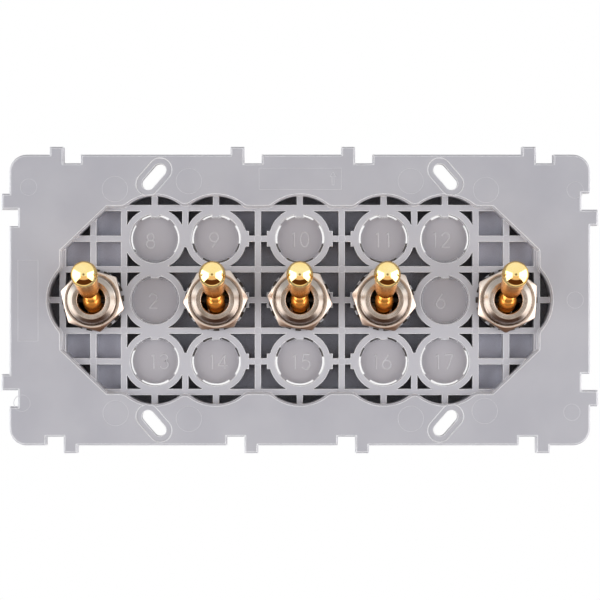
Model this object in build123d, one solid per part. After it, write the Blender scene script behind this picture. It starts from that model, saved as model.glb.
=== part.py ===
from build123d import *
import math
import os

# Five toggle switches on a moulded fixing plate for a double wall box, with twelve knock-out discs.
# Frame: X to the right, Z up, Y back into the wall, so the front faces -Y.
# Y = 0 is the wall plane that the flange rests on. X = Z = 0 is the middle of the plate.

# Fixing grid of the wall box and of the switch holes
gang_pitch = 71.0
screw_spacing = 60.0
hole_pitch = 15.0
outer_column = gang_pitch / 2
inner_column = outer_column - hole_pitch
end_column = outer_column + hole_pitch
columns = [-outer_column, -inner_column, 0, inner_column, outer_column]
toggle_columns = [-end_column, -inner_column, 0, inner_column, end_column]

# Flange, a little smaller than the gangs it covers
width_play = 0.6
height_play = 0.2
plate_width = 2 * gang_pitch - width_play
plate_height = gang_pitch - height_play
corner_radius = 4.2
flange_thickness = 3.0
flange_edge_bevel = 0.35
tab_offset = 22.0
tab_reach = 1.9
notch_depth = 2.1
long_edge_tab = 3.4
long_edge_notch = 4.2
short_edge_tab = 3.9
short_edge_notch = 4.0

# Slotted fixing holes, each in a shallow pad
slot_width = 3.1
slot_travel = 4.3
slot_tilt = 49
pad_width = 5.7
pad_travel = 4.6
pad_depth = 0.2

# Well, and the block behind it
well_depth = 2.5
well_edge_bevel = 0.45
well_side_margin = 0.05
well_wall = 1.6
end_cut_width = 11.1
end_cut_height = 10.6
scallop_radius = 10.4
end_lobe_radius = 10.75
valley_radius = 2.4
block_reach = 5.5
floor_thickness = 1.4
rib_width = 1.5
smallest_pocket = 0.5

# Rings and switch holes
ring_diameter = 15.0
hole_diameter = 12.0
ear_height = 3.8
ear_reach = 8.05
bridge_width = 1.4
bridge_height = 4.2
key_width = 1.9
key_depth = 0.7
nib_width = 0.5
nib_depth = 0.35

# Knock-out discs
disc_drop = 2.1
disc_thickness = 1.0
disc_gap = 0.45
skin_thickness = 0.4
skin_step = 0.12
web_angle = 21
key_gap = 0.12
skin_angle = 80
skin_lap = 1.4
relief_diameter = 13.4
relief_step = 0.3

# Threaded bush
thread_diameter = 11.8
bush_proud = 2.2
mouth_diameter = 6.9
bush_face_diameter = 9.4
bush_chamfer = 0.9
tail_room_diameter = 9.0
tail_room_start = 2.4
spigot_diameter = 10.2
keyway_width = 2.3
keyway_floor = 5.1

# Lock washer and nut
washer_thickness = 0.8
washer_bore = 12.1
washer_body_diameter = 13.6
washer_diameter = 15.1
washer_teeth = 18
tooth_share = 0.55
nut_across_flats = 14.0
nut_thickness = 2.5
nut_bore = 11.9
nut_face_diameter = 13.6
nut_bevel = 0.6
nut_turns = [44, 4, -7.5, -10.5, 27]
washer_turns = [3, 11, 7, 15, 0]

# Lever, measured along its own axis from the pivot
lever_tilt = 18
pivot_depth = 2.6
pin_diameter = 1.5
pin_length = 10.6
pin_clearance = 0.05
tip_diameter = 6.3
tip_distance = 19.3
tip_rim = 0.3
cone_top_diameter = 6.05
cone_end_distance = 8.7
cone_end_diameter = 4.9
cone_end_bevel = 0.3
waist_diameter = 2.8
pivot_diameter = 4.7
pivot_back = 2.9
tail_diameter = 3.5
tail_back = 7.6
tail_taper = 0.9

# Plunger and its spring in the tail
plunger_diameter = 2.0
plunger_reach = 13.0
plunger_head = 5.2
plunger_play = 0.05
tail_bore_bottom = 2.4
spring_wire = 0.4
spring_turns = 3
spring_play = 0.08

# Rocking contact
rocker_tilt = 10
rocker_gap = 0.1
rocker_thickness = 0.8
rocker_width = 5.0
rocker_spread = 55
rocker_half_span = 7.4
rocker_lug_width = 3.4
rocker_lug_foot = 0.2
fulcrum_drop = 2.9
fulcrum_diameter = 1.6
fulcrum_play = 0.05
contact_distance = 6.5
contact_diameter = 1.8
contact_gap = 0.06

# Frame, case and terminals, with room between neighbouring switches
switch_gap = 3.1
frame_width = inner_column - switch_gap
frame_thickness = 1.0
leg_width = 9.0
claw_reach = 2.4
case_height = 26.0
case_depth = 17.0
case_wall = 1.5
case_back = 2.2
case_corner = 0.8
blade_width = 4.8
blade_thickness = 0.8
blade_reach = 9.0
blade_eye = 1.6
blade_eye_inset = 2.6

# How far a tooth, key, web or lug runs into the body that carries it
root = 0.2

# Depths worked out from the sizes above
face_y = -flange_thickness
rib_y = face_y + well_depth
back_y = block_reach
floor_y = back_y - floor_thickness
disc_y = rib_y + disc_drop
bush_face_y = rib_y - washer_thickness - nut_thickness - bush_proud
pivot_y = bush_face_y + pivot_depth
frame_back_y = back_y + frame_thickness
case_back_y = frame_back_y + case_depth
rocker_y = pivot_y + plunger_reach + fulcrum_drop


def prism(sketch, front, rear):
    """Front-view sketch made solid between two depths."""
    return extrude(Plane.XZ.offset(-rear) * sketch, amount=rear - front)


def side_prism(sketch, width):
    """Side-view sketch, with Y across and Z up, made solid to both sides of X = 0."""
    return extrude(Plane.YZ * sketch, amount=width / 2, both=True)


def turned(points):
    """Solid of revolution about the Y axis from (radius, y) points."""
    outline = Polyline(*points, close=True)
    return revolve(make_face(outline), axis=Axis.Y)


def arc_about(middle_y, radius, start, end):
    """Arc about a point on the Y axis, between two angles in degrees, from 0 outwards to 90 forwards."""
    turns = [math.radians(angle) for angle in (start, (start + end) / 2, end)]
    return ThreePointArc(*[(radius * math.cos(t), middle_y - radius * math.sin(t)) for t in turns])


def at_each(shape, places):
    """The sum of one front-view sketch at each (x, z) place."""
    return Sketch() + [Pos(x, z) * shape for x, z in places]


def box_between(x0, x1, z0, z1):
    """Rectangle between two corners."""
    return Pos((x0 + x1) / 2, (z0 + z1) / 2) * Rectangle(abs(x1 - x0), abs(z1 - z0))


def edge_steps(half_height, tab, notch, centres, tab_side):
    """Pairs of a tab and a notch, one to each side of every line of the fixing grid along an edge."""
    steps = []
    for centre in centres:
        for line in (centre - tab_offset, centre + tab_offset):
            floor = half_height - notch_depth
            tab_box = box_between(line, line + tab_side * tab, floor, half_height + tab_reach)
            notch_box = box_between(line, line - tab_side * notch, floor, half_height + 1)
            steps.append((tab_box, notch_box))
    return steps


def flange_outline():
    """Rounded rectangle with a tab and a notch side by side on each line of the fixing grid."""
    outline = RectangleRounded(plate_width, plate_height, corner_radius)
    gangs = (-gang_pitch / 2, gang_pitch / 2)
    long_edge = edge_steps(plate_height / 2, long_edge_tab, long_edge_notch, gangs, -1)
    short_edge = edge_steps(plate_width / 2, short_edge_tab, short_edge_notch, (0,), 1)
    for half_turn in (0, 180):
        for steps, turn in ((long_edge, half_turn), (short_edge, half_turn + 90)):
            for tab, notch in steps:
                outline = outline + Rot(0, 0, turn) * tab - Rot(0, 0, turn) * notch
    return outline


def well_outline():
    """Opening in the front face: cut-cornered box, scallops round the outer rings, a lobe at each end."""
    half_width = end_column + hole_pitch / 2
    half_height = 1.5 * hole_pitch + well_side_margin
    corners = [
        (half_width, half_height - end_cut_height),
        (half_width - end_cut_width, half_height),
        (-half_width + end_cut_width, half_height),
        (-half_width, half_height - end_cut_height),
    ]
    box = make_face(Polyline(*corners, *[(-x, -z) for x, z in corners], close=True))
    outer_rings = [(x, z) for x in columns for z in (-hole_pitch, hole_pitch)]
    scallops = at_each(Circle(scallop_radius), outer_rings)
    lobes = at_each(Circle(end_lobe_radius), [(-end_column, 0), (end_column, 0)])
    opening = box + scallops + lobes
    grown = offset(opening, amount=valley_radius, kind=Kind.ARC)
    return offset(grown, amount=-valley_radius, kind=Kind.ARC)


def ring_centres():
    """Centres of all seventeen switch positions."""
    rows = [(x, z) for x in columns for z in (-hole_pitch, 0, hole_pitch)]
    return rows + [(-end_column, 0), (end_column, 0)]


def blank_centres():
    """Centres of the positions that a knock-out disc still closes."""
    used = [(x, 0) for x in toggle_columns]
    return [place for place in ring_centres() if place not in used]


def rib_sketch():
    """Grid of ribs, with the rings round the switch positions and their stepped ears."""
    half_width = end_column + hole_pitch
    half_height = 2 * hole_pitch
    half_row = hole_pitch / 2
    ribs = Sketch()
    for step in range(-3, 4):
        ribs += Pos(0, step * half_row) * Rectangle(2 * half_width, rib_width)
    for x in (inner_column / 2, outer_column + half_row, end_column, end_column + half_row):
        for side in (-1, 1):
            ribs += Pos(side * x, 0) * Rectangle(rib_width, 2 * half_height)
    for side in (-1, 1):
        for end in (-1, 1):
            upper = box_between(-rib_width / 2, rib_width / 2, hole_pitch, 3 * half_row)
            ribs += Pos(side * (outer_column - half_row), 0) * Rot(0, 0, 90 - 90 * end) * upper
    for x in columns:
        for end in (-1, 1):
            short = box_between(-rib_width / 2, rib_width / 2, 3 * half_row, half_height)
            ribs += Pos(x, 0) * Rot(0, 0, 90 - 90 * end) * short
    rings = at_each(Circle(ring_diameter / 2), ring_centres())
    ears = Sketch()
    for x in (-inner_column, 0, inner_column):
        for z in (-hole_pitch, 0, hole_pitch):
            low = -ear_reach if x > -inner_column else 0
            high = ear_reach if x < inner_column else 0
            ears += box_between(x + low, x + high, z - ear_height / 2, z + ear_height / 2)
    between = outer_column - half_row
    bridges = at_each(Rectangle(bridge_width, bridge_height),
                      [(side * between, z) for side in (-1, 1) for z in (-hole_pitch, 0, hole_pitch)])
    return ribs + rings + ears + bridges


def pockets(opening):
    """What is left of the well between ribs and rings, without the smallest slivers."""
    return Sketch() + [face for face in (opening - rib_sketch()).faces() if face.area > smallest_pocket]


def fixing_places():
    """Each slot's centre and the tilt of its long way."""
    return [(x, z, slot_tilt if x * z < 0 else -slot_tilt)
            for x in (-gang_pitch / 2, gang_pitch / 2)
            for z in (-screw_spacing / 2, screw_spacing / 2)]


def key(x, z):
    """Key at the top of a switch hole that stops a bush turning. Unused holes keep a nib beside it."""
    top = hole_diameter / 2
    shape = box_between(-key_width / 2, key_width / 2, top - key_depth, top + root)
    if (x, z) in blank_centres():
        side = 1 if x < 0 else -1
        middle = side * (key_width + nib_width) / 2
        shape += box_between(middle - nib_width / 2, middle + nib_width / 2, top - nib_depth, top + root)
    return Pos(x, z) * shape


def ring_sector(inner, outer, start, end):
    """Front-view piece of a ring between two angles."""
    middle = math.radians((start + end) / 2)
    reach = 2 * outer
    half = math.radians((end - start) / 2)
    wedge = Polyline(
        (0, 0),
        (reach * math.cos(middle - half), reach * math.sin(middle - half)),
        (reach * math.cos(middle), reach * math.sin(middle)),
        (reach * math.cos(middle + half), reach * math.sin(middle + half)),
        close=True,
    )
    return (Circle(outer) - Circle(inner)) & make_face(wedge)


def closed_quarters(x, z):
    """Middle angles of the gaps round a disc that a thin skin still closes."""
    if z == 0:
        return (0, 90, 180, 270)
    if abs(x) == outer_column:
        return (270,) if z > 0 else (90,)
    return ()


def knock_out(x, z):
    """Disc on four thin webs, with room round the key, and a skin over the gaps that are closed."""
    hole = hole_diameter / 2
    disc = hole - disc_gap
    notch_side = key_width / 2 + key_gap
    notch = box_between(-notch_side, notch_side, hole - key_depth - key_gap, hole + 1)
    body = Circle(disc) - notch
    for middle in (45, 135, 225, 315):
        body += ring_sector(disc - root, hole + root, middle - web_angle / 2, middle + web_angle / 2)
    solid = prism(Pos(x, z) * body, disc_y, disc_y + disc_thickness)
    for middle in closed_quarters(x, z):
        skin = ring_sector(disc - skin_lap, hole + root, middle - skin_angle / 2, middle + skin_angle / 2)
        front = disc_y + skin_step
        solid += prism(Pos(x, z) * skin, front, front + skin_thickness)
    return solid


def make_plate():
    """Flange, well, ribs, rings, discs and fixing slots as one moulding."""
    opening = well_outline()
    plate = prism(flange_outline(), face_y, 0)
    plate = chamfer(plate.faces().sort_by(Axis.Y)[0].outer_wire().edges(), flange_edge_bevel)
    plate = plate - prism(opening, face_y - 1, 1)
    plate = chamfer(plate.faces().sort_by(Axis.Y)[0].inner_wires()[0].edges(), well_edge_bevel)
    block = prism(offset(opening, amount=well_wall, kind=Kind.ARC), rib_y, back_y)
    block = block - prism(pockets(opening), rib_y - 1, floor_y)
    holes = at_each(Circle(hole_diameter / 2), ring_centres())
    block = block - prism(holes, rib_y - 1, back_y + 1)
    reliefs = at_each(Circle(relief_diameter / 2), blank_centres())
    block = block - prism(reliefs, disc_y + disc_thickness + relief_step, back_y + 1)
    keys = Sketch() + [key(x, z) for x, z in ring_centres()]
    plate = plate + block + prism(keys, rib_y, disc_y + disc_thickness + relief_step)
    for x, z in blank_centres():
        plate = plate + knock_out(x, z)
    slot = SlotCenterToCenter(slot_travel, slot_width)
    pad = SlotCenterToCenter(pad_travel, pad_width)
    for x, z, tilt in fixing_places():
        place = Pos(x, z) * Rot(0, 0, tilt)
        plate = plate - prism(place * slot, face_y - 1, 1)
        plate = plate - prism(place * pad, face_y - 1, face_y + pad_depth)
    return plate


def make_bush():
    """Threaded bush: mouth for the lever, wider room behind it for the tail, spigot at the back."""
    outer = thread_diameter / 2
    seat = spigot_diameter / 2
    tail = tail_room_diameter / 2
    mouth = mouth_diameter / 2
    bush = turned([
        (mouth, bush_face_y),
        (bush_face_diameter / 2, bush_face_y),
        (outer, bush_face_y + bush_chamfer),
        (outer, back_y),
        (seat, back_y),
        (seat, frame_back_y),
        (tail, frame_back_y),
        (tail, pivot_y + tail_room_start + tail - mouth),
        (mouth, pivot_y + tail_room_start),
    ])
    keyway = box_between(-keyway_width / 2, keyway_width / 2, keyway_floor, outer + 1)
    bush = bush - prism(keyway, bush_face_y - 1, back_y)
    return bush - Pos(0, pivot_y, 0) * Rot(0, 90, 0) * Cylinder(pin_diameter / 2, 2 * thread_diameter)


def make_pin():
    """Pivot pin across the bush."""
    return Pos(0, pivot_y, 0) * Rot(0, 90, 0) * Cylinder(pin_diameter / 2, pin_length)


def make_washer(turn):
    """Lock washer with teeth round its rim."""
    step = 360 / washer_teeth
    flat = Circle(washer_body_diameter / 2) - Circle(washer_bore / 2)
    for number in range(washer_teeth):
        middle = turn + number * step
        half = step * tooth_share / 2
        body = washer_body_diameter / 2
        flat += ring_sector(body - root, washer_diameter / 2, middle - half, middle + half)
    return prism(flat, rib_y - washer_thickness, rib_y)


def make_nut(turn):
    """Hexagon nut, bevelled at the front."""
    rear = rib_y - washer_thickness
    front = rear - nut_thickness
    corner = nut_across_flats / 2 / math.cos(math.pi / 6)
    hexagon = Rot(0, 0, turn) * RegularPolygon(corner, 6)
    nut = prism(hexagon - Circle(nut_bore / 2), front, rear)
    bevel_rise = (corner - nut_face_diameter / 2) * math.tan(math.radians(30))
    envelope = turned([
        (0, front),
        (nut_face_diameter / 2, front),
        (corner, front + bevel_rise),
        (corner + 1, front + bevel_rise),
        (corner + 1, rear),
        (0, rear),
    ])
    countersink = turned([
        (0, front),
        (nut_bore / 2 + nut_bevel, front),
        (nut_bore / 2, front + nut_bevel),
        (0, front + nut_bevel),
    ])
    return (nut & envelope) - countersink


def on_lever(shape):
    """Places what was modelled along the lever's own axis, with its tip towards -Y."""
    return Pos(0, pivot_y, 0) * Rot(-lever_tilt, 0, 0) * shape


def lever_outline():
    """Half section of the lever as (radius, y): round tip, cone, waist, round pivot and open tail."""
    tip = tip_diameter / 2
    cone_end = cone_end_diameter / 2
    waist = waist_diameter / 2
    pivot = pivot_diameter / 2
    tail = tail_diameter / 2
    cone_top = cone_top_diameter / 2
    rim_end = tip_distance - tip_rim
    waist_angle = math.degrees(math.acos(waist / pivot))
    waist_end = math.sqrt(pivot ** 2 - waist ** 2)
    waist_start = cone_end_distance - cone_end_bevel
    bore = plunger_diameter / 2 + plunger_play
    curve = arc_about(-tip_distance, tip, 90, 0)
    curve += Polyline(
        (tip, -tip_distance),
        (tip, -rim_end),
        (cone_top, -rim_end),
        (cone_end, -cone_end_distance),
        (cone_end - cone_end_bevel, -waist_start),
        (waist, -waist_start),
        (waist, -waist_end),
    )
    curve += arc_about(0, pivot, waist_angle, 0)
    curve += Polyline(
        (pivot, 0),
        (pivot, pivot_back),
        (tail, pivot_back + tail_taper),
        (tail, tail_back),
        (bore, tail_back),
        (bore, tail_bore_bottom),
        (0, tail_bore_bottom),
        (0, -tip_distance - tip),
    )
    return make_face(curve)


def make_lever():
    """Lever turned in one piece, cross-drilled for the pin and bored from its tail for the plunger."""
    lever = revolve(lever_outline(), axis=Axis.Y)
    hole = Rot(0, 90, 0) * Cylinder(pin_diameter / 2 + pin_clearance, 2 * pivot_diameter)
    return on_lever(lever - hole)


def make_plunger():
    """Round-nosed plunger that slides in the tail of the lever."""
    radius = plunger_diameter / 2
    outline = Polyline(
        (0, plunger_reach + radius),
        (0, plunger_head),
        (radius, plunger_head),
        (radius, plunger_reach),
    )
    nose = arc_about(plunger_reach, radius, 0, -90)
    return on_lever(revolve(make_face(outline + nose), axis=Axis.Y))


def make_spring():
    """Coil spring between the bottom of the tail bore and the plunger."""
    wire = spring_wire / 2
    radius = plunger_diameter / 2 + plunger_play - spring_play - wire
    height = plunger_head - tail_bore_bottom - spring_wire
    path = Helix(pitch=height / spring_turns, height=height, radius=radius)
    section = Plane(origin=path @ 0, z_dir=path % 0) * Rectangle(spring_wire, spring_wire)
    coil = sweep(section, path=path, is_frenet=True)
    return on_lever(Pos(0, tail_bore_bottom + wire, 0) * Rot(-90, 0, 0) * coil)


def plunger_path_point():
    """Where the centre of the plunger's nose lies at rest, along and above the rocking contact."""
    lever = math.radians(lever_tilt)
    rocker = math.radians(rocker_tilt)
    back = plunger_reach + fulcrum_drop - plunger_reach * math.cos(lever)
    down = plunger_reach * math.sin(lever)
    along = down * math.cos(rocker) - back * math.sin(rocker)
    above = back * math.cos(rocker) + down * math.sin(rocker)
    return along, above


def rocker_shape():
    """Centre height and inner radius of the boat: the circle that the plunger's nose follows."""
    along, above = plunger_path_point()
    centre = (along ** 2 + above ** 2 - fulcrum_drop ** 2) / (2 * (above - fulcrum_drop))
    nose = plunger_diameter / 2
    return centre, centre - fulcrum_drop + nose + rocker_gap


def rocker_section():
    """Side view of the rocking contact with its boat towards +Y, seen along X, fulcrum at the origin."""
    centre, inner = rocker_shape()
    outer = inner + rocker_thickness
    boat = Pos(centre, 0) * ring_sector(inner, outer, 180 - rocker_spread, 180 + rocker_spread)
    spread = math.radians(rocker_spread)
    arm_top = centre - inner * math.cos(spread)
    arm_inner = inner * math.sin(spread)
    for side in (-1, 1):
        boat += box_between(arm_top - rocker_thickness, arm_top, side * arm_inner, side * rocker_half_span)
    lug = box_between(-rocker_lug_foot, centre - outer + root, -rocker_lug_width / 2, rocker_lug_width / 2)
    return boat + lug - Circle(fulcrum_diameter / 2 + fulcrum_play)


def on_fulcrum(sketch):
    """Places a side view drawn with its front towards +X: at the fulcrum, tilted as it rests."""
    return Pos(rocker_y, 0) * Rot(0, 0, rocker_tilt) * mirror(sketch, about=Plane.YZ)


def make_rocker():
    """Boat-shaped contact that rocks on the middle terminal."""
    return side_prism(on_fulcrum(rocker_section()), rocker_width)


def contact_place():
    """Centre (y, z) of the lower fixed contact, just clear of the resting arm."""
    centre, inner = rocker_shape()
    arm_under = centre - inner * math.cos(math.radians(rocker_spread)) - rocker_thickness
    above = arm_under - contact_gap - contact_diameter / 2
    tilt = math.radians(rocker_tilt)
    y = contact_distance * math.sin(tilt) - above * math.cos(tilt)
    z = -contact_distance * math.cos(tilt) - above * math.sin(tilt)
    return rocker_y + y, z


def blade(nose_y, z, nose_diameter):
    """Terminal blade with a round nose inside the case and an eye in its outer end."""
    end_y = case_back_y + blade_reach
    strip = Pos((nose_y + end_y) / 2, z) * Rectangle(end_y - nose_y, blade_thickness)
    solid = side_prism(strip + Pos(nose_y, z) * Circle(nose_diameter / 2), blade_width)
    eye = Pos(0, end_y - blade_eye_inset, z) * Cylinder(blade_eye / 2, 3 * blade_thickness)
    return solid - eye


def make_terminals():
    """Middle terminal with the fulcrum, and one with a fixed contact above and below it."""
    y, z = contact_place()
    middle = blade(rocker_y, 0, fulcrum_diameter)
    return [blade(y, z, contact_diameter), middle, blade(y, -z, contact_diameter)]


def make_case():
    """Moulded case, open at the front, with a slot in its back for each blade."""
    inner_width = frame_width - 2 * case_wall
    case = prism(Rectangle(frame_width, case_height), frame_back_y, case_back_y)
    inside = Rectangle(inner_width, case_height - 2 * case_wall)
    case = case - prism(inside, frame_back_y - 1, case_back_y - case_back)
    case = fillet(case.edges().filter_by(Axis.Y).group_by(SortBy.LENGTH)[-1], case_corner)
    slot = Rectangle(blade_width, blade_thickness)
    for z in (-contact_place()[1], 0, contact_place()[1]):
        case = case - prism(Pos(0, z) * slot, frame_back_y, case_back_y + 1)
    return case


def make_frame():
    """Folded metal frame: a plate that the bush is riveted in, two legs and a claw on each."""
    half = case_height / 2
    outer = half + frame_thickness
    plate = prism(Rectangle(frame_width, 2 * outer), back_y, frame_back_y)
    claw_back = case_back_y + frame_thickness
    leg = box_between(back_y, claw_back, half, outer)
    claw = box_between(case_back_y, claw_back, half - claw_reach, outer)
    bracket = side_prism(leg + claw, leg_width)
    hole = prism(Circle(spigot_diameter / 2), back_y - 1, frame_back_y + 1)
    return plate + bracket + mirror(bracket, about=Plane.XY) - hole


def save(shape, name):
    """Writes one node, either a solid or a list of separate solids."""
    solids = shape if isinstance(shape, list) else [shape]
    node = Compound(label=name, children=solids) if len(solids) > 1 else solids[0]
    export_step(node, "parts/" + name + ".step")


def main():
    os.makedirs("parts", exist_ok=True)
    save(make_plate(), "mounting_plate")
    shared = {
        "lever": make_lever(),
        "pivot_pin": make_pin(),
        "bush": make_bush(),
        "plunger": make_plunger(),
        "spring": make_spring(),
        "rocker": make_rocker(),
        "frame": make_frame(),
        "case": make_case(),
    }
    blades = make_terminals()
    for number, x in enumerate(toggle_columns, start=1):
        for name, shape in shared.items():
            save(Pos(x, 0, 0) * shape, name + "_" + str(number))
        save([Pos(x, 0, 0) * one for one in blades], "terminals_" + str(number))
        save(Pos(x, 0, 0) * make_nut(nut_turns[number - 1]), "hex_nut_" + str(number))
        save(Pos(x, 0, 0) * make_washer(washer_turns[number - 1]), "lock_washer_" + str(number))


main()
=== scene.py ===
import math

import bmesh
import bpy
import numpy as np
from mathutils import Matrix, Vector


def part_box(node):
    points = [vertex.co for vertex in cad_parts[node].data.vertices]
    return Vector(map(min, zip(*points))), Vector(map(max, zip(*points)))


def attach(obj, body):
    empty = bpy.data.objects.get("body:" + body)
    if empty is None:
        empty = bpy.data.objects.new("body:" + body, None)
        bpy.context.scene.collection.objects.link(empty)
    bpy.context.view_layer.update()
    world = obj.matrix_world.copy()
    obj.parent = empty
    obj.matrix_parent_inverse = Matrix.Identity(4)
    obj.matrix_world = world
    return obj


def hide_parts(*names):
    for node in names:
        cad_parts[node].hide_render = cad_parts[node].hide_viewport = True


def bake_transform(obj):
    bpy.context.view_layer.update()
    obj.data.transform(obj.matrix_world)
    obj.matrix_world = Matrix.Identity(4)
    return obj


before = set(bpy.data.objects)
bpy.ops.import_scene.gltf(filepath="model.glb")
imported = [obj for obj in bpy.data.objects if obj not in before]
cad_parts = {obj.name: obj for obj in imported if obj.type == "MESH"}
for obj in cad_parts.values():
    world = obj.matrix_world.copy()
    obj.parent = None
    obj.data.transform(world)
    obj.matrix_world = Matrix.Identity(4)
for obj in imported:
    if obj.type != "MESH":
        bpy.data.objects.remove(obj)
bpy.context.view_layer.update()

MM = 0.001
SWITCHES = range(1, 6)

# Depths and thicknesses in millimetres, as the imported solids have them. The front is towards -Y.
FLANGE_FACE = -3.0
RIB_FACE = -0.5
DISC_FACE = 1.6
WASHER_THICKNESS = 0.8
NUT_THICKNESS = 2.5
BUSH_PROUD = 2.2
NUT_REAR = RIB_FACE - WASHER_THICKNESS
NUT_FRONT = NUT_REAR - NUT_THICKNESS
BUSH_FACE = NUT_FRONT - BUSH_PROUD
PLATE_BACK = 5.5
PIVOT = -3.4

# All levers stand up at rest. A corner of each nut stands at its angle in degrees from +X towards +Z.
LEVER_TILT = math.radians(18)
NUT_TURNS = {1: 44, 2: 4, 3: -7.5, 4: -10.5, 5: 27}


# Surfaces

# Metres within which points are one and a face is a sliver
MERGED = 1e-7
SLIVER = 1e-8

# A corner's curve: its points, and the greatest share of a side that it takes
CURVE_STEPS = 5
LONGEST_CURVE = 0.45


def cells(grid):
    """The values at the four corners of each cell of a grid, in order round the cell."""
    return np.stack([grid[:-1, :-1], grid[:-1, 1:], grid[1:, 1:], grid[1:, :-1]], axis=2)


def grid_faces(rows, columns, wrap_rows, wrap_columns):
    """Four-cornered faces of a grid of points, as rows of point numbers."""
    index = np.arange(rows * columns).reshape(rows, columns)
    if wrap_rows:
        index = np.vstack([index, index[:1]])
    if wrap_columns:
        index = np.hstack([index, index[:, :1]])
    return cells(index).reshape(-1, 4)


def piece(name, points, faces, finish, body, slot, smooth=True, uv=None, replaced=None):
    """Object from points in millimetres. Doubled points are merged and the faces turned outwards. It
    rides on the body that body names; where body gives two bodies and a start and end, it is only set in
    place."""
    mesh = bpy.data.meshes.new(name)
    mesh.from_pydata((points.reshape(-1, 3) * MM).tolist(), [], faces.tolist())
    if uv is not None:
        layer = mesh.uv_layers.new(name="turned")
        layer.data.foreach_set("uv", uv.reshape(-1).astype(np.float32))
    shape = bmesh.new()
    shape.from_mesh(mesh)
    bmesh.ops.remove_doubles(shape, verts=shape.verts, dist=MERGED)
    bmesh.ops.dissolve_degenerate(shape, edges=shape.edges, dist=SLIVER)
    bmesh.ops.recalc_face_normals(shape, faces=shape.faces)
    shape.to_mesh(mesh)
    shape.free()
    mesh.polygons.foreach_set("use_smooth", np.full(len(mesh.polygons), smooth))
    mesh.materials.append(finish)
    made = bpy.data.objects.new(name, mesh)
    bpy.context.scene.collection.objects.link(made)
    if isinstance(body, str):
        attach(made, body)
    else:
        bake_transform(made)
    if replaced:
        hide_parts(replaced)


def rounded(table):
    """Closed outline whose corners are curves. Each row gives a corner's place and its radius, and the
    curve is a parabola between two points that lie the radius back along the corner's two sides."""
    table = np.array(table, float)
    corners, radii = table[:, :2], table[:, 2:]
    before = np.roll(corners, 1, axis=0) - corners
    after = np.roll(corners, -1, axis=0) - corners
    before_length = np.linalg.norm(before, axis=1, keepdims=True)
    after_length = np.linalg.norm(after, axis=1, keepdims=True)
    start = corners + before / before_length * np.minimum(radii, before_length * LONGEST_CURVE)
    end = corners + after / after_length * np.minimum(radii, after_length * LONGEST_CURVE)
    t = np.linspace(0, 1, CURVE_STEPS)[None, :, None]
    curve = (1 - t) ** 2 * start[:, None] + 2 * t * (1 - t) * corners[:, None] + t ** 2 * end[:, None]
    return curve.reshape(-1, 2)


def turned_uv(outline, columns, wrap_rows):
    """Turns round the axis across, and millimetres along the outline up, for every face corner."""
    along = np.vstack([outline, outline[:1]]) if wrap_rows else outline
    length = np.concatenate([[0], np.cumsum(np.linalg.norm(np.diff(along, axis=0), axis=1))])
    across = np.linspace(0, 1, columns + 1)
    return cells(np.stack(np.meshgrid(across, length), axis=-1)).reshape(-1, 2)


def angles(columns):
    """Even angles round a circle."""
    return np.linspace(0, 2 * math.pi, columns, endpoint=False)


def centre_of(node):
    """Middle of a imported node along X, in millimetres."""
    low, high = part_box(node)
    return (low.x + high.x) / 2 / MM


# Shader graphs

NOISE_MIDDLE = (0.3, 0.7)
NODE_SAMPLES = 6

# Cosines of the lean at which an edge's painted highlight starts to show and is full
SHEEN_COSINES = (1.0, 0.96)


class Value:
    """A shader output that takes part in sums: each operator adds one Math node."""

    def __init__(self, tree, socket):
        self.tree = tree
        self.socket = socket

    def math(self, operation, other, swapped=False):
        """One Math node on this value and another, or on the other and this one."""
        made = self.tree.nodes.new("ShaderNodeMath")
        made.operation = operation
        for place, value in zip((1, 0) if swapped else (0, 1), (self, other)):
            if isinstance(value, Value):
                self.tree.links.new(value.socket, made.inputs[place])
            else:
                made.inputs[place].default_value = value
        return Value(self.tree, made.outputs[0])

    def __add__(self, other):
        return self.math("ADD", other)

    def __sub__(self, other):
        return self.math("SUBTRACT", other)

    def __rsub__(self, other):
        return self.math("SUBTRACT", other, swapped=True)

    def __mul__(self, other):
        return self.math("MULTIPLY", other)

    __radd__ = __add__
    __rmul__ = __mul__


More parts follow.
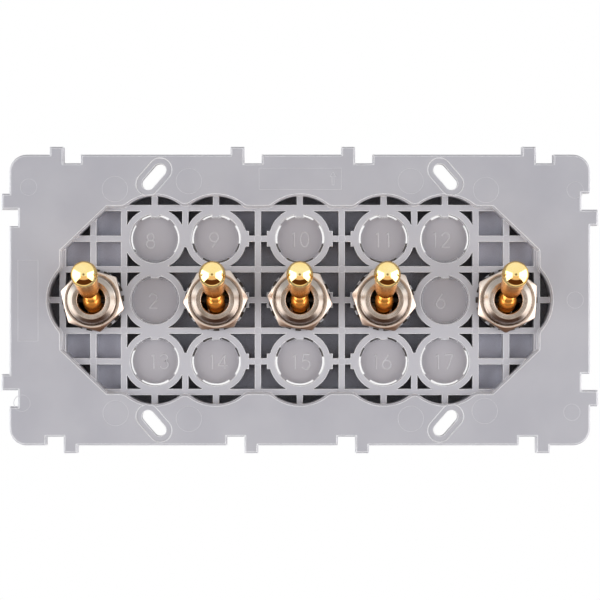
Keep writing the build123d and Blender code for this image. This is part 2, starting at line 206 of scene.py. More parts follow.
class Finish:
    """One material or the world, and the method that adds its nodes."""

    def __init__(self, owner):
        self.owner = owner
        owner.use_nodes = True
        self.tree = owner.node_tree
        self.tree.nodes.clear()

    def node(self, kind, settings=None, inputs=None, output=0):
        """Adds a node, first its settings and then its sockets' values or links, and gives one of its
        outputs. Sockets go by name, or by number where a node has several of one name."""
        made = self.tree.nodes.new(kind)
        for name, value in (settings or {}).items():
            setattr(made, name, value)
        for name, value in (inputs or {}).items():
            if isinstance(value, Value):
                self.tree.links.new(value.socket, made.inputs[name])
            else:
                made.inputs[name].default_value = value
        return Value(self.tree, made.outputs[output]) if made.outputs else None

    def place(self):
        """Object coordinates, in metres."""
        return self.node("ShaderNodeTexCoord", output="Object")

    def turned_map(self):
        """The map of a turned piece: turns across and millimetres up."""
        return self.node("ShaderNodeUVMap", {"uv_map": "turned"})

    def part(self, vector, axis):
        """One coordinate of a vector."""
        return self.node("ShaderNodeSeparateXYZ", inputs={0: vector}, output=axis)

    def along(self, axis):
        """One coordinate of the place, in millimetres."""
        return self.part(self.place(), axis) * (1 / MM)

    def noise(self, scale, detail, roughness=0.5, vector=None):
        """Cloudy value from 0 to 1 with features of 1 / scale metres."""
        inputs = {"Vector": vector or self.place(), "Scale": scale, "Detail": detail, "Roughness": roughness}
        return self.node("ShaderNodeTexNoise", inputs=inputs)

    def grain(self, vector, scales, detail=3.0):
        """Noise that is drawn out: each coordinate of the vector has a scale of its own."""
        drawn = self.node("ShaderNodeMapping", inputs={"Vector": vector, "Scale": scales})
        return self.noise(1.0, detail, 0.6, drawn)

    def step(self, value, low, high, start=0.0, end=1.0):
        """Smooth step of value from start at low to end at high."""
        settings = {"interpolation_type": "SMOOTHSTEP"}
        return self.node("ShaderNodeMapRange", settings, {0: value, 1: low, 2: high, 3: start, 4: end})

    def spread(self, noise, start=0.0, end=1.0):
        """The middle of a noise's values spread out from start to end."""
        return self.step(noise, *NOISE_MIDDLE, start, end)

    def band(self, value, rise, fall):
        """1 between a smooth rise and a smooth fall of value, and 0 outside them."""
        return self.step(value, *rise) * self.step(value, *fall)

    def mix(self, factor, first, second):
        """Colour between two."""
        return self.node("ShaderNodeMix", {"data_type": "RGBA"}, {0: factor, 6: first, 7: second}, output=2)

    def paint(self, colour, *coats):
        """Colour under coats, each of which is a factor and a colour."""
        for factor, coat in coats:
            colour = self.mix(factor, colour, coat)
        return colour

    def edge_sheen(self, radius):
        """Normal softened over a radius in millimetres, and how far it leans from the plain one, which is
        the mask of painted highlights along edges.
        """
        soft = self.node("ShaderNodeBevel", {"samples": NODE_SAMPLES}, {"Radius": radius * MM})
        plain = self.node("ShaderNodeNewGeometry", output="Normal")
        settings = {"operation": "DOT_PRODUCT"}
        facing = self.node("ShaderNodeVectorMath", settings, {0: soft, 1: plain}, output="Value")
        return soft, self.step(facing, *SHEEN_COSINES)

    def hollow_shade(self, reach, start, full):
        """How much a piece's own walls close a place in, the mask of painted shade in hollows. Reach is in
        millimetres. Start and full are the open shares of its view at which the value starts to rise and is
        1."""
        settings = {"samples": NODE_SAMPLES, "only_local": True}
        openness = self.node("ShaderNodeAmbientOcclusion", settings, {"Distance": reach * MM}, output="AO")
        return self.step(openness, start, full)

    def bump(self, height, strength, distance, normal=None):
        """Normal from a height, where distance is the height's reach in millimetres."""
        inputs = {"Height": height, "Strength": strength, "Distance": distance * MM}
        if normal:
            inputs["Normal"] = normal
        return self.node("ShaderNodeBump", inputs=inputs)

    def surface(self, **inputs):
        """Closes the graph with one Principled shader."""
        named = {key.replace("_", " "): value for key, value in inputs.items()}
        shader = self.node("ShaderNodeBsdfPrincipled", inputs=named)
        self.node("ShaderNodeOutputMaterial", inputs={0: shader})
        return self.owner


def new_finish(name):
    """An empty material graph."""
    return Finish(bpy.data.materials.new(name))


def grey(level, warm=0.0):
    """Opaque colour: a grey level with red raised and blue lowered by warm."""
    return (level * (1 + warm), level, level * (1 - warm), 1)


# Colours of the moulding, and the smooth steps in millimetres of depth between its parts
MOULDED_DARK = (0.440, 0.436, 0.480, 1)
MOULDED_LIGHT = (0.492, 0.487, 0.526, 1)
RIB_GREY = (0.560, 0.556, 0.600, 1)
DISC_GREY = (0.470, 0.448, 0.480, 1)
# Painted highlight along the moulding's edges
SHEEN_WHITE = (0.98, 0.98, 1.0, 1)
# Painted fill light: deep pocket floors are lightened
POCKET_FILL_LIGHT = (0.76, 0.77, 0.88, 1)
# Painted shade in the corners of deep, narrow pockets
CORNER_SHADE = (0.03, 0.03, 0.036, 1)
RIB_DEPTHS = (-1.6, -0.9), (0.9, 0.2)
DISC_DEPTHS = (1.2, 1.5), (2.0, 1.7)
POCKET_DEPTHS = (3.6, 4.0)


def moulded_plastic(name, bevel, sheen_lines, pale=0.0):
    """Grey moulding: matt texture, cloudy tone, paler ribs, thin painted highlights along its edges, pocket
    floors painted lighter as painted fill light, and painted shade that darkens them between close walls.
    The third argument is how strong the edges' painted highlights are, and pale is how far all of it goes
    towards their colour, as a painted highlight over the whole piece."""
    g = new_finish(name)
    soft, edge = g.edge_sheen(bevel)
    cloud = g.noise(90, 3.0)
    flow = g.noise(22, 2.0)
    speck = g.noise(5200, 1.0)
    depth = g.along("Y")
    pockets = g.step(depth, *POCKET_DEPTHS)
    colour = g.paint(
        g.mix(g.spread(cloud * 0.6 + flow * 0.4), MOULDED_DARK, MOULDED_LIGHT),
        (g.band(depth, *RIB_DEPTHS) * 0.75, RIB_GREY),
        (g.band(depth, *DISC_DEPTHS) * 0.7, DISC_GREY),
        # Painted highlights along edges, and with pale a painted highlight over the whole piece
        (edge * sheen_lines + pale, SHEEN_WHITE),
        # Painted fill light on the floors of deep pockets
        (pockets * 0.8, POCKET_FILL_LIGHT),
        # Painted shade where close walls hide the pocket floors
        (g.hollow_shade(reach=5.0, start=0.38, full=0.11) * pockets * 0.9, CORNER_SHADE),
    )
    roughness = g.spread(speck, 0.40, 0.52)
    normal = g.bump(speck * 0.7 + cloud * 0.3, strength=0.25, distance=0.02, normal=soft)
    return g.surface(Base_Color=colour, Roughness=roughness, Normal=normal)


def turned_metal(name, dark, light, sheen_colour, rough, rings, painted_dark_end=-1.0):
    """Turned and plated metal: fine rings along the outline, from the piece's own map, and painted
    highlights along its edges. Up to the last argument's millimetres along that outline the plating is
    rougher and painted darker as a painted dark reflection, and deep hollows are painted nearly black as
    painted shade."""
    g = new_finish(name)
    uv = g.turned_map()
    painted_dark_and_rough = g.step(g.part(uv, "Y"), painted_dark_end + 0.05, painted_dark_end - 0.05)
    ring = g.grain(uv, (3.0, rings, 1.0))
    cloud = g.noise(420, 3.0)
    soft, edge = g.edge_sheen(0.08)
    colour = g.paint(
        g.mix(g.spread(ring * 0.65 + cloud * 0.35), dark, light),
        # Painted highlight along the edges
        (edge * 0.4, sheen_colour),
        # Painted dark reflection over the first stretch of the outline
        (painted_dark_and_rough * (0.25 + g.spread(ring) * 0.45), grey(0.12, 0.1)),
        # Painted shade: deep hollows nearly black
        (g.hollow_shade(reach=4.0, start=0.45, full=0.15), (0.02, 0.014, 0.01, 1)),
    )
    roughness = g.spread(cloud * 0.5 + ring * 0.5, rough, rough + 0.1) + painted_dark_and_rough * 0.06
    normal = g.bump(ring, strength=0.12, distance=0.01, normal=soft)
    return g.surface(Base_Color=colour, Metallic=1.0, Roughness=roughness, Normal=normal)


# The lever's zones, as smooth steps in millimetres along its outline from the top of its tip
SHAFT_START = (4.9, 5.6)
SHAFT_REFLECTION_FADE = (7.0, 15.5)
PIVOT_START = (16.2, 17.0)


def polished_brass():
    """Brass lever: mirror-bright tip, a shaft with fainter rings whose painted reflection fades from pink to
    dark brown downwards, and a duller (rougher, less metallic) round pivot painted redder as a painted warm
    reflection."""
    g = new_finish("polished_brass")
    uv = g.turned_map()
    way = g.part(uv, "Y")
    ring = g.grain(uv, (2.0, 14.0, 1.0), 4.0)
    cloud = g.noise(300, 3.0)
    pits = g.noise(3600, 1.0)
    shaft = g.step(way, *SHAFT_START)
    pivot = g.step(way, *PIVOT_START)
    colour = g.paint(
        g.mix(g.spread(ring * 0.5 + cloud * 0.5), (0.98, 0.75, 0.30, 1), (1.0, 0.84, 0.42, 1)),
        # Painted reflection: pinkish at the top of the shaft, dark brown towards the pivot
        (shaft, g.mix(g.step(way, *SHAFT_REFLECTION_FADE), (1.0, 0.70, 0.42, 1), (0.78, 0.42, 0.14, 1))),
        # Painted warm reflection: the pivot is redder
        (pivot, (0.95, 0.46, 0.10, 1)),
    )
    roughness = g.spread(cloud * 0.6 + ring * 0.4, 0.07, 0.12) + shaft * 0.08 + pivot * 0.04
    normal = g.bump(pits * 0.4 + ring * 0.6, strength=0.05, distance=0.01)
    return g.surface(Base_Color=colour, Metallic=1 - pivot * 0.3, Roughness=roughness, Normal=normal,
                     Specular_Tint=(1.0, 0.68, 0.40, 1))


def plated_steel(name, dark, light, rough, grain=(900, 900, 60), shine=0.4):
    """Sheet metal with a rolled grain and soft edges, which carry a painted highlight by the share that
    shine gives.
    """
    g = new_finish(name)
    soft, edge = g.edge_sheen(0.12)
    rolled = g.grain(g.place(), grain)
    cloud = g.noise(260, 3.0)
    colour = g.paint(
        g.mix(g.spread(rolled * 0.6 + cloud * 0.4), dark, light),
        # Painted highlight along the edges
        (edge * shine, grey(0.85)),
    )
    roughness = g.spread(cloud, rough, rough + 0.15)
    normal = g.bump(rolled, strength=0.15, distance=0.01, normal=soft)
    return g.surface(Base_Color=colour, Metallic=1.0, Roughness=roughness, Normal=normal)


def black_moulding():
    """Black phenolic case: satin, with a fine pebbled skin and edges greyed by a painted highlight."""
    g = new_finish("black_phenolic")
    soft, edge = g.edge_sheen(0.2)
    cloud = g.noise(130, 3.0)
    pebble = g.noise(3000, 2.0)
    colour = g.paint(
        g.mix(g.spread(cloud), grey(0.012), grey(0.024)),
        # Painted highlight along the edges
        (edge * 0.5, grey(0.07)),
    )
    roughness = g.spread(cloud * 0.5 + pebble * 0.5, 0.32, 0.46)
    normal = g.bump(pebble, strength=0.2, distance=0.02, normal=soft)
    return g.surface(Base_Color=colour, Roughness=roughness, Normal=normal)


# Marks on the moulding

def arc(x, z, across, up, start, end, count=25):
    """Points of an ellipse's arc between two angles in degrees."""
    t = np.radians(np.linspace(start, end, count))
    return np.stack([x + across * np.cos(t), z + up * np.sin(t)], axis=1)


def ring(x, z, radius):
    """Closed circle of points, the first of which isn't given again at the end."""
    count = 48
    return arc(x, z, radius, radius, 0, 360 - 360 / count, count)


def run(*points):
    """Straight strokes through points."""
    return np.array(points, float)


def trail(*parts):
    """One path from several that follow each other."""
    return np.vstack(parts)


# Paths of each numeral, in millimetres across and up from the middle of its foot
NUMERAL_PATHS = {
    "0": [arc(0, 1.8, 1.0, 1.8, 0, 360, 41)],
    "1": [run((-0.55, 3.1), (0, 3.6), (0, 0))],
    "2": [trail(arc(0, 2.6, 0.95, 1.0, 170, -35), run((-1.0, 0), (1.05, 0)))],
    "3": [trail(arc(0, 2.72, 0.85, 0.88, 160, -80), arc(0, 0.98, 1.05, 0.98, 85, -160))],
    "4": [run((0.55, 0), (0.55, 3.6), (-1.15, 0.9), (1.15, 0.9))],
    "5": [trail(run((0.9, 3.6), (-0.55, 3.6), (-0.8, 2.0)), arc(0, 1.15, 1.05, 1.15, 120, -150))],
    "6": [arc(0, 1.1, 1.05, 1.1, 0, 360, 41), run((-0.92, 1.65), (0.45, 3.6))],
    "7": [run((-1.0, 3.6), (1.05, 3.6), (-0.35, 0))],
    "8": [arc(0, 2.75, 0.82, 0.85, 0, 360, 37), arc(0, 1.0, 1.05, 1.0, 0, 360, 41)],
    "9": [arc(0, 2.5, 1.05, 1.1, 0, 360, 41), run((0.92, 1.95), (-0.45, 0))],
}
NUMERAL_STEP = 2.55
NUMERAL_MIDDLE = 1.8
SECOND_PATH_DROP = 0.02

# Label, disc centre (x, z), and how far the label stands off that centre
NUMBERS = [
    ("8", -35.5, 15, -1.16, -0.5), ("9", -20.5, 15, -0.57, -0.27), ("10", 0, 15, -0.07, -0.15),
    ("11", 20.5, 15, 0.05, -0.27), ("12", 35.5, 15, -0.96, -0.27), ("2", -35.5, 0, -0.54, -0.25),
    ("6", 35.5, 0, -0.96, -0.25), ("13", -35.5, -15, 0.93, -0.1), ("14", -20.5, -15, 0.3, -0.2),
    ("15", 0, -15, 0.17, -0.2), ("16", 20.5, -15, -0.44, -0.2), ("17", 35.5, -15, -0.22, -0.2),
]

# Middles (x, z) of the round marks, with the radius of each kind
EJECTOR_MARKS = [
    (3.1, [(-45, 27), (-27, 28.95), (27, 28.95), (45.3, 26.8),
           (-44.8, -27.5), (-27, -28.9), (27, -28.9), (45, -27)]),
    (2.0, [(-66, 27.5), (67, 26.8), (67, 0), (66.2, -27.3), (-67.6, -25.1)]),
]
CROSSING_RADIUS = 0.85
CROSSING_MARKS = [
    (sx * x, sz * z)
    for x, z in ((10.25, 15), (10.25, 7.5), (43, 7.5), (50.5, 15))
    for sx in (-1, 1)
    for sz in (-1, 1)
]

# Left, right, bottom and top of the plain framed fields, and the arrow round its own middle
PLAIN_FIELDS = [(-9.9, 10.1, 26.9, 32.1), (-68.6, -63.7, -10, 9.7)]
ARROW_MIDDLE = [8.1, 29.6]
ARROW_CORNERS = [
    (-0.25, -1.6), (0.25, -1.6), (0.25, 0.5), (0.75, 0.5),
    (0, 1.6), (-0.75, 0.5), (-0.25, 0.5), (-0.25, -1.6),
]

# Width at the foot, height, and width of one sloping side of each kind of raised line
NUMERAL_LINE = (0.38, 0.12, 0.08)
EJECTOR_LINE = (0.16, 0.025, 0.06)
CROSSING_LINE = (0.14, 0.025, 0.05)
FIELD_LINE = (0.16, 0.02, 0.06)
ARROW_LINE = (0.16, 0.05, 0.06)
LINE_FOOT = -0.02


def raised_line(path, face, width, height, slope, closed=False):
    """Raised line on a face: a trapezium's four corners, set across the path at each of its points.
    The direction across is the path's own, turned a quarter."""
    along = np.roll(path, -1, 0) - np.roll(path, 1, 0) if closed else np.gradient(path, axis=0)
    along /= np.linalg.norm(along, axis=1, keepdims=True)
    side = np.stack([-along[:, 1], along[:, 0]], axis=1)
    across = np.array([-width / 2, -width / 2 + slope, width / 2 - slope, width / 2])
    lift = np.array([LINE_FOOT, height, height, LINE_FOOT])
    flat = path[:, None] + side[:, None] * across[None, :, None]
    depth = np.broadcast_to(face - lift, flat.shape[:2])
    points = np.stack([flat[..., 0], depth, flat[..., 1]], axis=-1)
    faces = grid_faces(len(path), 4, closed, True)
    if not closed:
        last = 4 * (len(path) - 1)
        faces = np.vstack([faces, [[0, 1, 2, 3]], [[last + 3, last + 2, last + 1, last]]])
    return points.reshape(-1, 3), faces


def joined(parts):
    """Several (points, faces) pairs as one."""
    counts = np.cumsum([0] + [len(points) for points, _ in parts])
    faces = [face + start for (_, face), start in zip(parts, counts)]
    return np.vstack([points for points, _ in parts]), np.vstack(faces)


def dense(path, gap=0.12):
    """The same path with points no further apart than the gap, so that a corner stays a corner."""
    lengths = np.linalg.norm(np.diff(path, axis=0), axis=1)
    total = np.concatenate([[0], np.cumsum(lengths)])
    at = np.unique(np.concatenate([total, np.arange(0, total[-1], gap)]))
    return np.stack([np.interp(at, total, path[:, 0]), np.interp(at, total, path[:, 1])], axis=1)


def number_strokes():
    """Raised numerals, each at its place on its disc. Where a numeral has two paths, the second is a
    little lower, so that no two faces lie in one plane."""
    width, height, slope = NUMERAL_LINE
    parts = []
    for label, x, z, dx, dz in NUMBERS:
        for place, numeral in enumerate(label):
            shift = (place - (len(label) - 1) / 2) * NUMERAL_STEP
            for layer, path in enumerate(NUMERAL_PATHS[numeral]):
                moved = dense(path) + np.array([x + dx + shift, z + dz - NUMERAL_MIDDLE])
                parts.append(raised_line(moved, DISC_FACE, width, height - SECOND_PATH_DROP * layer, slope))
    return joined(parts)


def flange_lines():
    """Faint rings that the ejector pins left, two plain framed fields and an arrow that shows the top."""
    parts = []
    for radius, middles in EJECTOR_MARKS:
        for x, z in middles:
            parts.append(raised_line(ring(x, z, radius), FLANGE_FACE, *EJECTOR_LINE, True))
    for x, z in CROSSING_MARKS:
        parts.append(raised_line(ring(x, z, CROSSING_RADIUS), RIB_FACE, *CROSSING_LINE, True))
    for x0, x1, z0, z1 in PLAIN_FIELDS:
        box = run((x0, z0), (x1, z0), (x1, z1), (x0, z1), (x0, z0))
        parts.append(raised_line(dense(box), FLANGE_FACE, *FIELD_LINE))
    arrow = dense(run(*ARROW_CORNERS)) + np.array(ARROW_MIDDLE)
    parts.append(raised_line(arrow, FLANGE_FACE, *ARROW_LINE))
    return joined(parts)


# Turned parts, in millimetres. The rows of an outline's table are radius, way along, and rounding.

LEVER_COLUMNS, BUSH_COLUMNS, NUT_COLUMNS = 96, 192, 240

# Lever: the way along goes from its pivot towards its tip
TIP_RADIUS, TIP_MIDDLE = 3.15, 19.3
WAIST_RADIUS, PIVOT_RADIUS = 1.4, 2.35
SHAFT_OUTLINE = [
    (TIP_RADIUS, 19.0, 0.12), (3.02, 18.98, 0.05), (2.98, 18.8, 0.1),
    (2.45, 8.7, 0.15), (2.15, 8.4, 0.15), (WAIST_RADIUS, 8.4, 0.4),
]
TAIL_OUTLINE = [
    (PIVOT_RADIUS, -2.9, 0.2), (1.75, -3.8, 0.2), (1.75, -7.6, 0.15),
    (1.05, -7.6, 0.1), (1.05, -2.4, 0.1), (0, -2.4, 0),
]

# Coil spring: the way along goes from the pivot into the lever's tail
COIL_RADIUS, WIRE_RADIUS, COIL_TURNS = 0.77, 0.2, 3
COIL_START, COIL_END = 2.6, 4.98
COIL_STEPS, WIRE_SIDES, WIRE_END = 145, 14, 0.9

# Bush: the way along is the depth. The thread's wave is made steeper by FLANK and cut by CREST.
THREAD_RADIUS, THREAD_DEPTH, THREAD_PITCH = 5.9, 0.38, 1.0
FLANK, CREST = 1.25, 0.1
THREAD_END, THREAD_GONE = NUT_FRONT + 0.5, NUT_FRONT + 0.52
KEYWAY_FLOOR, KEYWAY_HALF = 5.1, 1.15
RIM_RADIUS, BROW, CONE_SLOPE = 4.62, 0.05, 1.35
BORE_OUTLINE = [
    (5.1, PLATE_BACK, 0.05), (5.1, 6.5, 0.1), (4.5, 6.5, 0.1), (4.5, 0.05, 0.1),
    (3.45, -1.0, 0.1), (3.45, BUSH_FACE, 0.16), (RIM_RADIUS - 0.06, BUSH_FACE, 0),
]

# Nut: radii of its flats, bore and face, and the cones that its ends fall back in
NUT_FLAT, NUT_BORE, NUT_FACE = 7.0, 5.95, 6.75
NUT_CORNER_CUT = 0.12
NUT_SLOPE = math.tan(math.radians(30))
CONE_STARTS_BACK = 0.02
REAR_CONE_SHARE = 0.6


def revolve(radius, depth, x):
    """Points at rows of radii and depths, turned about the line along Y through x. Radius and depth
    hold either one value a row or one for each angle of it."""
    columns = max(radius.shape[1], depth.shape[1])
    t = angles(columns)
    flat = np.broadcast_to(depth, (len(depth), columns))
    return np.stack([x + radius * np.cos(t), flat, radius * np.sin(t)], axis=-1)


def turned_piece(name, points, outline, finish, body, slot, replaced, closed=True):
    """Piece of turned points, with the map of its outline."""
    columns = points.shape[1]
    faces = grid_faces(len(outline), columns, closed, True)
    piece(name, points, faces, finish, body, slot, uv=turned_uv(outline, columns, closed), replaced=replaced)


def round_part(radius, middle, start, count):
    """Arc of a circle round a point on the axis, from an angle above straight out down to that."""
    t = np.linspace(start, 0, count)
    return np.stack([radius * np.cos(t), middle + radius * np.sin(t)], axis=1)


def lever_outline():
    """Open (radius, distance) outline: round tip with a thin rim, cone, waist, round pivot and bored
    tail. The tip and the pivot are circles, and corners between straight stretches are rounded."""
    return np.vstack([
        round_part(TIP_RADIUS, TIP_MIDDLE, math.pi / 2, 48),
        rounded(SHAFT_OUTLINE),
        round_part(PIVOT_RADIUS, 0, math.acos(WAIST_RADIUS / PIVOT_RADIUS), 24),
        rounded(TAIL_OUTLINE),
    ])


def tilted(points, number):
    """Points round the lever's axis, turned with the lever about its pivot pin."""
    x, y, z = points[..., 0], points[..., 1], points[..., 2]
    cos, sin = math.cos(LEVER_TILT), math.sin(LEVER_TILT)
    middle = centre_of(f"pivot_pin_{number}")
    return np.stack([x + middle, PIVOT + y * cos + z * sin, z * cos - y * sin], axis=-1)


def make_lever(number, finish):
    """Lever turned about its own axis, then tilted about the pivot pin."""
    outline = lever_outline()
    radius = np.broadcast_to(outline[:, :1], (len(outline), LEVER_COLUMNS))
    placed = tilted(revolve(radius, -outline[:, 1:], 0), number)
    turned_piece(f"toggle_lever_{number}", placed, outline, finish, f"lever_{number}", "lever_brass",
                 f"lever_{number}", closed=False)


def make_spring(number, finish):
    """Coil spring in the lever's bore: a round wire set square to a line that climbs evenly as it
    turns. It is set in place between the lever and the plunger, and rides on neither."""
    share = np.linspace(0, 1, COIL_STEPS)[:, None]
    turn = share * COIL_TURNS * 2 * math.pi
    zero = np.zeros_like(turn)
    out = np.hstack([np.cos(turn), zero, np.sin(turn)])
    climb = (COIL_END - COIL_START) / (COIL_TURNS * 2 * math.pi)
    along = np.hstack([-COIL_RADIUS * np.sin(turn), zero + climb, COIL_RADIUS * np.cos(turn)])
    along /= np.linalg.norm(along, axis=1, keepdims=True)
    line = COIL_RADIUS * out + np.hstack([zero, COIL_START + share * (COIL_END - COIL_START), zero])
    side = np.cross(out, along)
    size = np.full((len(share), 1, 1), WIRE_RADIUS)
    size[0] = size[-1] = WIRE_RADIUS * WIRE_END
    a = angles(WIRE_SIDES)[None, :, None]
    rings = line[:, None] + size * (np.cos(a) * out[:, None] + np.sin(a) * side[:, None])
    ends = [np.broadcast_to(line[at], (1,) + rings.shape[1:]) for at in (0, -1)]
    rings = np.concatenate([ends[0], rings, ends[1]])
    start, end = (Vector(tilted(np.array([0, y, 0]), number)) * MM for y in (COIL_START, COIL_END))
    faces = grid_faces(len(rings), rings.shape[1], False, True)
    body = (f"lever_{number}", f"plunger_{number}", start, end)
    piece(f"coil_spring_{number}", tilted(rings, number), faces, finish, body, "spring_steel",
          replaced=f"spring_{number}")


def make_bush(number, finish):
    """Threaded bush. The radius outside is the least of the end's cone, which leaves the face as a
    parabola, the thread's wave, which climbs one pitch in a turn, and the flat floor of the keyway at
    the top."""
    t = angles(BUSH_COLUMNS)
    depth = np.concatenate([
        BUSH_FACE + BROW * np.linspace(0, 1, 5)[:-1] ** 2,
        np.linspace(BUSH_FACE + BROW, THREAD_END, 58),
        [THREAD_GONE, PLATE_BACK - 0.05],
    ])
    wave = np.abs(((depth[:, None] / THREAD_PITCH - t / (2 * math.pi)) % 1.0) * 2 - 1)
    cut = THREAD_DEPTH * np.clip(wave * FLANK - CREST, 0, 1)
    thread = THREAD_RADIUS - np.where(depth[:, None] < THREAD_GONE, cut, 0)
    below = depth - BUSH_FACE
    widening = np.where(below < BROW, 2 * np.sqrt(BROW * np.clip(below, 0, BROW)), BROW + below)
    cone = RIM_RADIUS + CONE_SLOPE * widening
    outer = np.minimum(thread, cone[:, None])
    floor = KEYWAY_FLOOR / np.maximum(np.sin(t), 1e-6)
    in_key = (np.abs(np.cos(t) * outer) < KEYWAY_HALF) & (np.sin(t) > 0)
    outer = np.where(in_key, np.minimum(outer, floor), outer)
    inner = rounded(BORE_OUTLINE)
    radius = np.vstack([outer, np.broadcast_to(inner[:, :1], (len(inner), len(t)))])
    along = np.concatenate([depth, inner[:, 1]])[:, None]
    points = revolve(radius, along, centre_of(f"pivot_pin_{number}"))
    outline = np.hstack([radius[:, :1], along])
    turned_piece(f"threaded_bush_{number}", points, outline, finish, "base", "bush_nickel", f"bush_{number}")


def make_nut(number, finish):
    """Hexagon nut. Each angle has the same rounded outline, whose outer side stands where the hexagon
    does at that angle, and whose ends fall back as cones that meet the flats in curves."""
    t = angles(NUT_COLUMNS)
    turn = math.radians(NUT_TURNS[number])
    sector = (t - turn + math.pi / 6) % (math.pi / 3) - math.pi / 6
    corner = NUT_FLAT / math.cos(math.pi / 6)
    reach = np.minimum(NUT_FLAT / np.cos(math.pi / 6 - np.abs(sector)), corner - NUT_CORNER_CUT)
    rows = [(NUT_BORE, NUT_REAR)]
    for out, back in ((0, 0.37), (0.03, 0.31), (0.27, 0.05), (0.34, 0)):
        rows.append((NUT_BORE + out, NUT_FRONT + back))
    rows.append((NUT_FACE - 0.08, NUT_FRONT))
    for share in np.linspace(0, 1, 7):
        radius = NUT_FACE + (reach - 0.1 - NUT_FACE) * share
        rows.append((radius, NUT_FRONT + CONE_STARTS_BACK + (radius - NUT_FACE) * NUT_SLOPE))
    front_edge = NUT_FRONT + CONE_STARTS_BACK + (reach - NUT_FACE) * NUT_SLOPE
    for inwards, back in ((0.04, 0.02), (0.01, 0.07), (0, 0.14)):
        rows.append((reach - inwards, front_edge + back))
    rear_edge = NUT_REAR - (reach - NUT_FACE) * NUT_SLOPE * REAR_CONE_SHARE
    for inwards, forwards in ((0, 0.12), (0.03, 0.04), (0.1, 0)):
        rows.append((reach - inwards, rear_edge - forwards))
    rows.append((NUT_FACE, NUT_REAR))
    radius, depth = (np.stack([np.broadcast_to(row[at], len(t)) for row in rows]) for at in (0, 1))
    points = revolve(radius, depth, centre_of(f"pivot_pin_{number}"))
    outline = np.stack([radius[:, 0], depth[:, 0]], axis=1)
    turned_piece(f"plated_nut_{number}", points, outline, finish, "base", "nut_nickel", f"hex_nut_{number}")


def dress(prefix, finish):
    """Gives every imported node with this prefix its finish."""
    for name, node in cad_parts.items():
        if name.startswith(prefix):
            node.data.materials.clear()
            node.data.materials.append(finish)


# Stage, light and camera

WHITE = (1, 1, 1, 1)
AMBIENT = 0.32

# The dark spot straight in front, and the cosines to its outer and inner edge
SPOT_BROWN = (0.25, 0.18, 0.12, 1)
SPOT_COSINES = (-0.975, -0.996)

# Floor, in metres, with the smooth steps between the colours that mirror rays meet on it
FLOOR_HALF = 4.0
FLOOR_HEIGHT = -1.0
FRONT_DEPTHS = (0.28, 0.16)
FRONT_CURVE = 0.25
TABLE_DEPTHS = (-1.05, -0.80)
TABLE_WIDTHS_SQUARED = (1.7, 1.2)
FLOOR_BEHIND = (1.0, 0.84, 0.66, 1)
FLOOR_IN_FRONT = (0.88, 0.62, 0.48, 1)
TABLE_BROWN = (0.10, 0.034, 0.012, 1)

# Camera, in millimetres
SENSOR_WIDTH = 36
HALF_VIEW = 73
CAMERA_DISTANCE = 500
CAMERA_SIDE = 0.05


def seen_as_white(g, own, kind, mirrored):
    """What the camera and glass rays meet is plain white, and mirror rays meet the colour that is
    given. All other rays meet the surface's own light."""
    shader = {"world": "ShaderNodeBackground", "surface": "ShaderNodeEmission"}[kind]
    kinds = ("Is Camera Ray", "Is Glossy Ray", "Is Transmission Ray")
    camera, mirror, glass = (g.node("ShaderNodeLightPath", output=name) for name in kinds)
    shine = g.node(shader, inputs={"Color": mirrored, "Strength": 1.0})
    white = g.node(shader, inputs={"Color": WHITE, "Strength": 1.0})
    polished = g.node("ShaderNodeMixShader", inputs={0: mirror, 1: own, 2: shine})
    factor = (camera + glass).math("MINIMUM", 1.0)
    return g.node("ShaderNodeMixShader", inputs={0: factor, 1: polished, 2: white})


def make_world():
    """Dim all-round light, seen as white. Polished metal finds a small dark spot straight in front."""
    g = Finish(bpy.data.worlds.new("studio"))
    bpy.context.scene.world = g.owner
    way = g.node("ShaderNodeTexCoord", output="Generated")
    room = g.mix(g.step(g.part(way, "Y"), *SPOT_COSINES), WHITE, SPOT_BROWN)
    dim = g.node("ShaderNodeBackground", inputs={"Color": WHITE, "Strength": AMBIENT})
    g.node("ShaderNodeOutputWorld", inputs={0: seen_as_white(g, dim, "world", room)})


def make_floor():
    """Pale floor well below the part. Mirror rays meet a dark table on it in front of the part, a brown
    studio floor round that, and a lighter one behind."""
    mesh = bpy.data.meshes.new("floor")
    half, height = FLOOR_HALF, FLOOR_HEIGHT
    corners = [(-half, -half, height), (half, -half, height), (half, half, height), (-half, half, height)]
    mesh.from_pydata(corners, [], [(0, 1, 2, 3)])
    floor = bpy.data.objects.new("floor", mesh)
    bpy.context.scene.collection.objects.link(floor)
    g = new_finish("floor")
    depth, across = g.along("Y") * MM, g.along("X") * MM
    spread = across * across
    front = g.step(depth - spread * FRONT_CURVE, *FRONT_DEPTHS)
    table = front * g.step(depth, *TABLE_DEPTHS) * g.step(spread, *TABLE_WIDTHS_SQUARED)
    studio = g.paint(g.mix(front, FLOOR_BEHIND, FLOOR_IN_FRONT), (table, TABLE_BROWN))
    pale = g.node("ShaderNodeBsdfDiffuse", inputs={"Color": grey(0.8)})
    g.node("ShaderNodeOutputMaterial", inputs={0: seen_as_white(g, pale, "surface", studio)})
    mesh.materials.append(g.owner)


def make_lamp(name, place, size, power):
    """Long soft box that stands beside the plate and faces the middle plane, X = 0. Its place and size
    are in metres and its power in watts."""
    data = bpy.data.lights.new(name, "AREA")
    data.shape, data.size, data.size_y, data.energy = "RECTANGLE", size[0], size[1], power
    lamp = bpy.data.objects.new(name, data)
    lamp.location = place
    lamp.rotation_euler = Vector((-place[0], 0, 0)).to_track_quat("-Z", "Y").to_euler()
    bpy.context.scene.collection.objects.link(lamp)


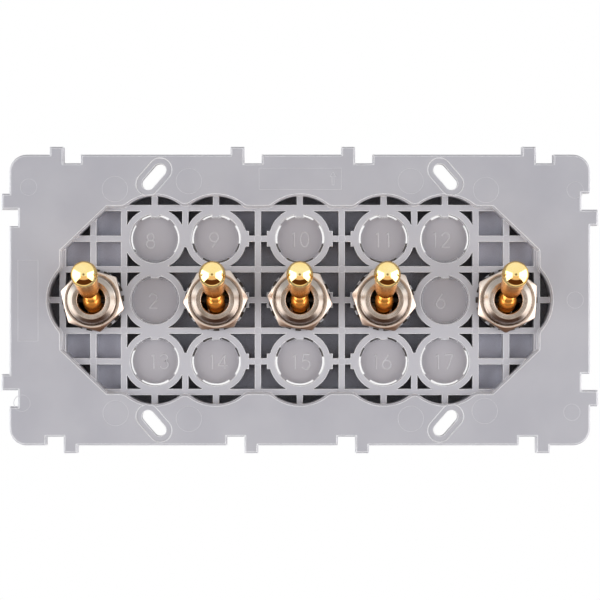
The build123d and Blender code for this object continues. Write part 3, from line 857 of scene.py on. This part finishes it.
def make_camera():
    """Camera half a metre in front of the flange, 146 mm of which fill the picture's width."""
    data = bpy.data.cameras.new("camera")
    data.sensor_width = SENSOR_WIDTH
    data.lens = SENSOR_WIDTH / 2 / (HALF_VIEW / CAMERA_DISTANCE)
    data.clip_start, data.clip_end = 0.01, 20
    camera = bpy.data.objects.new("camera", data)
    camera.location = (CAMERA_SIDE * MM, (FLANGE_FACE - CAMERA_DISTANCE) * MM, 0)
    camera.rotation_euler = (math.pi / 2, 0, 0)
    bpy.context.scene.collection.objects.link(camera)
    bpy.context.scene.camera = camera


make_camera()
make_world()
make_floor()
for side, name in ((-1, "left"), (1, "right")):
    make_lamp("soft_box_" + name, place=(side * 0.65, -0.45, -0.12), size=(1.5, 0.85), power=9.0)

plastic = moulded_plastic("moulded_grey", bevel=0.3, sheen_lines=1.0)
fine_plastic = moulded_plastic("moulded_grey_marks", bevel=0.09, sheen_lines=0.55)
# The numerals carry a painted highlight over their whole face as well as along their edges
number_plastic = moulded_plastic("moulded_grey_numbers", bevel=0.03, sheen_lines=0.5, pale=0.25)
# The bush's end chamfer is painted darker as a painted dark reflection
nickel = turned_metal("turned_nickel", (0.50, 0.43, 0.37, 1), (0.70, 0.635, 0.58, 1), grey(0.8, 0.06),
                      rough=0.2, rings=9.0, painted_dark_end=1.45)
nut_plating = turned_metal("nut_plating", (0.54, 0.45, 0.38, 1), (0.74, 0.66, 0.59, 1), grey(0.88, 0.05),
                           rough=0.25, rings=5.0)
brass = polished_brass()
washer_steel = plated_steel("washer_steel", (0.045, 0.038, 0.034, 1), (0.085, 0.075, 0.068, 1),
                            rough=0.5, shine=0.0)
zinc = plated_steel("zinc_plate", grey(0.52, 0.02), grey(0.64, 0.02), rough=0.3)
blackened_steel = plated_steel("blackened_steel", grey(0.012, 0.1), grey(0.025, 0.1),
                               rough=0.5, grain=(90, 900, 900))
stamped_brass = plated_steel("stamped_brass", (0.62, 0.43, 0.17, 1), (0.74, 0.54, 0.24, 1),
                             rough=0.28, grain=(900, 60, 900))
turned_brass = plated_steel("turned_brass", (0.62, 0.43, 0.17, 1), (0.76, 0.57, 0.26, 1), rough=0.2)
contact_silver = plated_steel("contact_silver", grey(0.6, 0.03), grey(0.75, 0.03), rough=0.25)
spring_steel = plated_steel("spring_steel", grey(0.45), grey(0.55), rough=0.25)
black = black_moulding()

for prefix, finish in (
    ("mounting_plate", plastic), ("pivot_pin", blackened_steel), ("lock_washer", washer_steel),
    ("frame_", zinc), ("case_", black), ("terminals_", stamped_brass), ("plunger_", turned_brass),
    ("rocker_", contact_silver),
):
    dress(prefix, finish)

for number in SWITCHES:
    make_lever(number, brass)
    make_bush(number, nickel)
    make_nut(number, nut_plating)
    make_spring(number, spring_steel)

piece("position_numbers", *number_strokes(), number_plastic, "base", "grey_plastic", smooth=False)
piece("flange_marks", *flange_lines(), fine_plastic, "base", "grey_plastic", smooth=False)

bpy.context.scene.view_settings.view_transform = "Standard"
